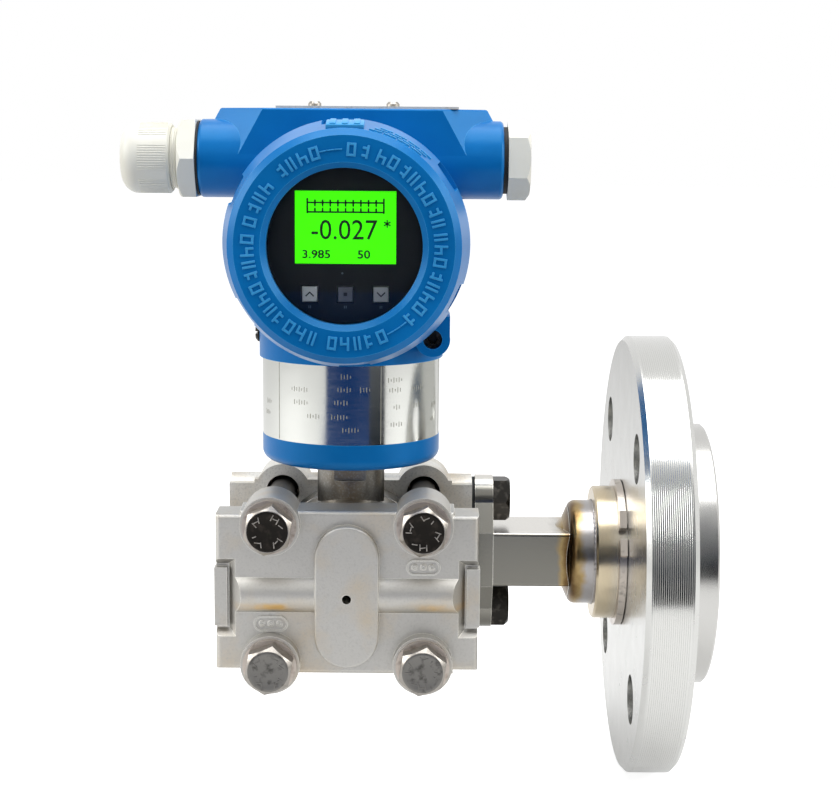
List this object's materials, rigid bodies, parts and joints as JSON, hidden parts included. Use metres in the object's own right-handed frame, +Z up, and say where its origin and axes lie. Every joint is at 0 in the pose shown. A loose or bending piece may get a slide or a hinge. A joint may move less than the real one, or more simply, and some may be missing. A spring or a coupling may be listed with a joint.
{
  "type": "differential pressure transmitter",
  "caption": "Differential pressure transmitter with a flange-mounted diaphragm seal, bolted process flanges and a swivel housing with a windowed display.",
  "frame": {"origin": "centre of the diaphragm seal's raised sealing face", "axes": "+X out of the sealing face towards the vessel, +Z up along the housing's swivel axis, the display looks along -Y"},
  "size_m": [0.2128, 0.1757, 0.251],
  "materials": {
    "machined_steel": "satin",
    "welded_steel": "satin",
    "foil": "satin",
    "spring_steel": "satin",
    "blasted_casting": "matte",
    "gasket_black": "matte",
    "zinc_steel": "satin",
    "black_steel": "satin",
    "blue_aluminium": "satin",
    "polished_band": "polished",
    "window": "polished",
    "ring_black": "satin",
    "display_black": "matte",
    "lit_panel": "gloss",
    "key_light": "satin",
    "key_dark": "satin",
    "key_mid": "satin",
    "board_green": "satin",
    "terminal_plastic": "satin",
    "ivory_nylon": "satin"
  },
  "bodies": {
    "measuring_unit": {"seal_body": "machined_steel", "diaphragm": "foil", "retaining_ring": "spring_steel", "weld_collar": "welded_steel", "seal_arm": "blasted_casting", "arm_gasket": "gasket_black", "arm_bolts": "zinc_steel", "rear_process_flange": "blasted_casting", "front_process_flange": "blasted_casting", "sensor_cell": "welded_steel", "cell_seals": "gasket_black", "sensor_neck": "welded_steel", "upper_process_bolts": "black_steel", "lower_process_bolts": "zinc_steel", "process_nuts": "zinc_steel", "process_washers": "zinc_steel"},
    "loose_flange": {"backing_flange": "machined_steel"},
    "housing": {"housing_body": "blue_aluminium", "label_band": "polished_band", "name_plate": "polished_band", "plate_screws": "zinc_steel", "display_bezel": "display_black", "lcd_panel": "lit_panel", "display_board": "board_green", "main_board": "board_green", "display_posts": "zinc_steel", "terminal_block": "terminal_plastic", "terminal_screws": "zinc_steel", "gland_washer": "gasket_black", "gland_body": "ivory_nylon", "plug_seal": "gasket_black", "blanking_plug": "ivory_nylon", "earth_screw": "zinc_steel", "cover_lock_screw": "zinc_steel", "swivel_set_screw": "zinc_steel"},
    "front_seal": {"front_cover_seal": "gasket_black"},
    "front_cover": {"front_cover": "blue_aluminium", "window_glass": "window", "glass_ring": "ring_black"},
    "rear_seal": {"rear_cover_seal": "gasket_black"},
    "rear_cover": {"rear_cover": "blue_aluminium"},
    "left_key": {"key_left": "key_light"},
    "middle_key": {"key_middle": "key_dark"},
    "right_key": {"key_right": "key_mid"},
    "gland_insert": {"gland_insert": "gasket_black"},
    "gland_nut": {"gland_nut": "ivory_nylon"}
  },
  "joints": [
    {"name": "flange_turn", "type": "hinge", "parent": "measuring_unit", "child": "loose_flange", "pos_m": [-0.02135, 0, 0], "axis": [1, 0, 0], "continuous": true},
    {"name": "housing_swivel", "type": "hinge", "parent": "measuring_unit", "child": "housing", "pos_m": [-0.132, -0.03025, 0.055], "axis": [0, 0, 1], "range_deg": [-180, 180]},
    {"name": "front_cover_travel", "type": "slide", "parent": "housing", "child": "front_seal", "axis": [0, -1, 0], "range_m": [0, 0.008]},
    {"name": "front_cover_turn", "type": "hinge", "parent": "front_seal", "child": "front_cover", "pos_m": [-0.132, -0.063, 0.1215], "axis": [0, -1, 0], "range_deg": [0, 1440]},
    {"name": "rear_cover_travel", "type": "slide", "parent": "housing", "child": "rear_seal", "axis": [0, 1, 0], "range_m": [0, 0.008]},
    {"name": "rear_cover_turn", "type": "hinge", "parent": "rear_seal", "child": "rear_cover", "pos_m": [-0.132, 0.0024, 0.1215], "axis": [0, 1, 0], "range_deg": [0, 1440]},
    {"name": "gland_travel", "type": "slide", "parent": "housing", "child": "gland_insert", "axis": [-1, 0, 0], "range_m": [0, 0.003]},
    {"name": "gland_nut_turn", "type": "hinge", "parent": "gland_insert", "child": "gland_nut", "pos_m": [-0.2045, -0.03025, 0.1484], "axis": [-1, 0, 0], "range_deg": [0, 720]},
    {"name": "left_key_press", "type": "slide", "parent": "housing", "child": "left_key", "axis": [0, 1, 0], "range_m": [0, 0.0004], "stiffness_N_per_m": 3000, "springref_m": -0.0001},
    {"name": "middle_key_press", "type": "slide", "parent": "housing", "child": "middle_key", "axis": [0, 1, 0], "range_m": [0, 0.0004], "stiffness_N_per_m": 3000, "springref_m": -0.0001},
    {"name": "right_key_press", "type": "slide", "parent": "housing", "child": "right_key", "axis": [0, 1, 0], "range_m": [0, 0.0004], "stiffness_N_per_m": 3000, "springref_m": -0.0001}
  ],
  "couplings": [
    {"joint": "front_cover_travel", "follows": "front_cover_turn", "m_per_rad": 0.00031831},
    {"joint": "rear_cover_travel", "follows": "rear_cover_turn", "m_per_rad": 0.00031831},
    {"joint": "gland_travel", "follows": "gland_nut_turn", "m_per_rad": 0.00023873}
  ]
}
